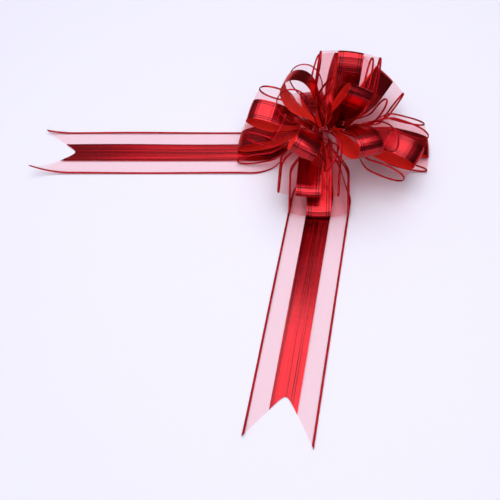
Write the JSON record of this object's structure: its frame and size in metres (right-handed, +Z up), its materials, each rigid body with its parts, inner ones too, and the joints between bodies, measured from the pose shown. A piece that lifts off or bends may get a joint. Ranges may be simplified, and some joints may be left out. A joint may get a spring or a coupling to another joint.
{
  "type": "gift bow",
  "caption": "Gathered pull bow of banded ribbon: loops standing out all round a pinched core, with two flat swallow-tail tails.",
  "frame": {"origin": "on the table, under the middle of the box round the whole bow", "axes": "+Z up; -X along the left tail from the core; -Y towards the end of the front tail"},
  "size_m": [0.3442, 0.3547, 0.0964],
  "materials": {
    "ribbon": "sheer organza with a glossy metallic band",
    "weld": "fused ribbon",
    "string": "glossy flat string"
  },
  "bodies": {
    "core": {"waist_1": "weld", "waist_2": "weld", "waist_3": "weld", "waist_4": "weld", "waist_5": "weld", "waist_6": "weld", "waist_7": "weld", "pull_string_near": "string", "pull_string_far": "string", "knot_left": "string", "knot_right": "string"},
    "loop_left_low": {"loop_left_low": "ribbon"},
    "loop_left": {"loop_left": "ribbon"},
    "loop_upper_left": {"loop_upper_left": "ribbon"},
    "loop_top": {"loop_top": "ribbon"},
    "loop_top_back": {"loop_top_back": "ribbon"},
    "loop_upper_right": {"loop_upper_right": "ribbon"},
    "loop_crown": {"loop_crown": "ribbon"},
    "loop_front_right": {"loop_front_right": "ribbon"},
    "loop_front_left": {"loop_front_left": "ribbon"},
    "loop_near": {"loop_near": "ribbon"},
    "loop_on_tail": {"loop_on_tail": "ribbon"},
    "loop_right": {"loop_right": "ribbon"},
    "loop_right_back": {"loop_right_back": "ribbon"},
    "loop_back": {"loop_back": "ribbon"},
    "tail_left": {"tail_left": "ribbon"},
    "tail_front": {"tail_front": "ribbon"}
  },
  "joints": [
    {"name": "flex_left_low", "type": "hinge", "parent": "core", "child": "loop_left_low", "pos_m": [0.06502, 0.10147, 0.02675], "axis": [-0.1541, -0.9869, -0.0485], "range_deg": [-4, 0]},
    {"name": "flex_left", "type": "hinge", "parent": "core", "child": "loop_left", "pos_m": [0.06525, 0.10204, 0.02973], "axis": [-0.2787, -0.9341, -0.2233], "range_deg": [-8, 4]},
    {"name": "flex_upper_left", "type": "hinge", "parent": "core", "child": "loop_upper_left", "pos_m": [0.07297, 0.10262, 0.03373], "axis": [-0.2542, -0.9328, 0.2553], "range_deg": [-3, 5]},
    {"name": "flex_top", "type": "hinge", "parent": "core", "child": "loop_top", "pos_m": [0.09107, 0.10216, 0.03474], "axis": [-0.9939, 0.0804, 0.0757], "range_deg": [-2, 8]},
    {"name": "flex_top_back", "type": "hinge", "parent": "core", "child": "loop_top_back", "pos_m": [0.08395, 0.10554, 0.03191], "axis": [-0.8872, 0.3934, -0.2411], "range_deg": [-8, 3]},
    {"name": "flex_upper_right", "type": "hinge", "parent": "core", "child": "loop_upper_right", "pos_m": [0.09809, 0.10564, 0.0291], "axis": [-0.7541, 0.4432, 0.4847], "range_deg": [-5, 8]},
    {"name": "flex_crown", "type": "hinge", "parent": "core", "child": "loop_crown", "pos_m": [0.08424, 0.09941, 0.03446], "axis": [0.916, -0.0845, -0.3921], "range_deg": [-2, 2]},
    {"name": "flex_front_right", "type": "hinge", "parent": "core", "child": "loop_front_right", "pos_m": [0.08737, 0.09574, 0.03213], "axis": [0.9453, 0.3137, -0.0891], "range_deg": [-2, 7]},
    {"name": "flex_front_left", "type": "hinge", "parent": "core", "child": "loop_front_left", "pos_m": [0.06306, 0.09549, 0.03227], "axis": [0.8661, -0.324, -0.3807], "range_deg": [-3, 4]},
    {"name": "flex_near", "type": "hinge", "parent": "core", "child": "loop_near", "pos_m": [0.06937, 0.09454, 0.02869], "axis": [0.994, -0.1059, 0.0261], "range_deg": [-3, 3]},
    {"name": "flex_on_tail", "type": "hinge", "parent": "core", "child": "loop_on_tail", "pos_m": [0.07525, 0.09483, 0.02705], "axis": [0.9983, -0.0521, 0.0248], "range_deg": [-3, 1]},
    {"name": "flex_right", "type": "hinge", "parent": "core", "child": "loop_right", "pos_m": [0.0992, 0.0975, 0.0291], "axis": [0.493, 0.8588, 0.1392], "range_deg": [-7, 4]},
    {"name": "flex_right_back", "type": "hinge", "parent": "core", "child": "loop_right_back", "pos_m": [0.10717, 0.1006, 0.02705], "axis": [0.045, 0.9826, 0.1804], "range_deg": [-8, 0]},
    {"name": "flex_back", "type": "hinge", "parent": "core", "child": "loop_back", "pos_m": [0.07801, 0.10612, 0.02695], "axis": [-0.9966, -0.0812, 0.0164], "range_deg": [-8, 0]},
    {"name": "swing_tail_left", "type": "hinge", "parent": "core", "child": "tail_left", "pos_m": [0.0675, 0.1005, 0.018], "axis": [0, 0, 1], "range_deg": [-15, 15]},
    {"name": "swing_tail_front", "type": "hinge", "parent": "core", "child": "tail_front", "pos_m": [0.0845, 0.0955, 0.018], "axis": [0, 0, 1], "range_deg": [-15, 15]}
  ]
}
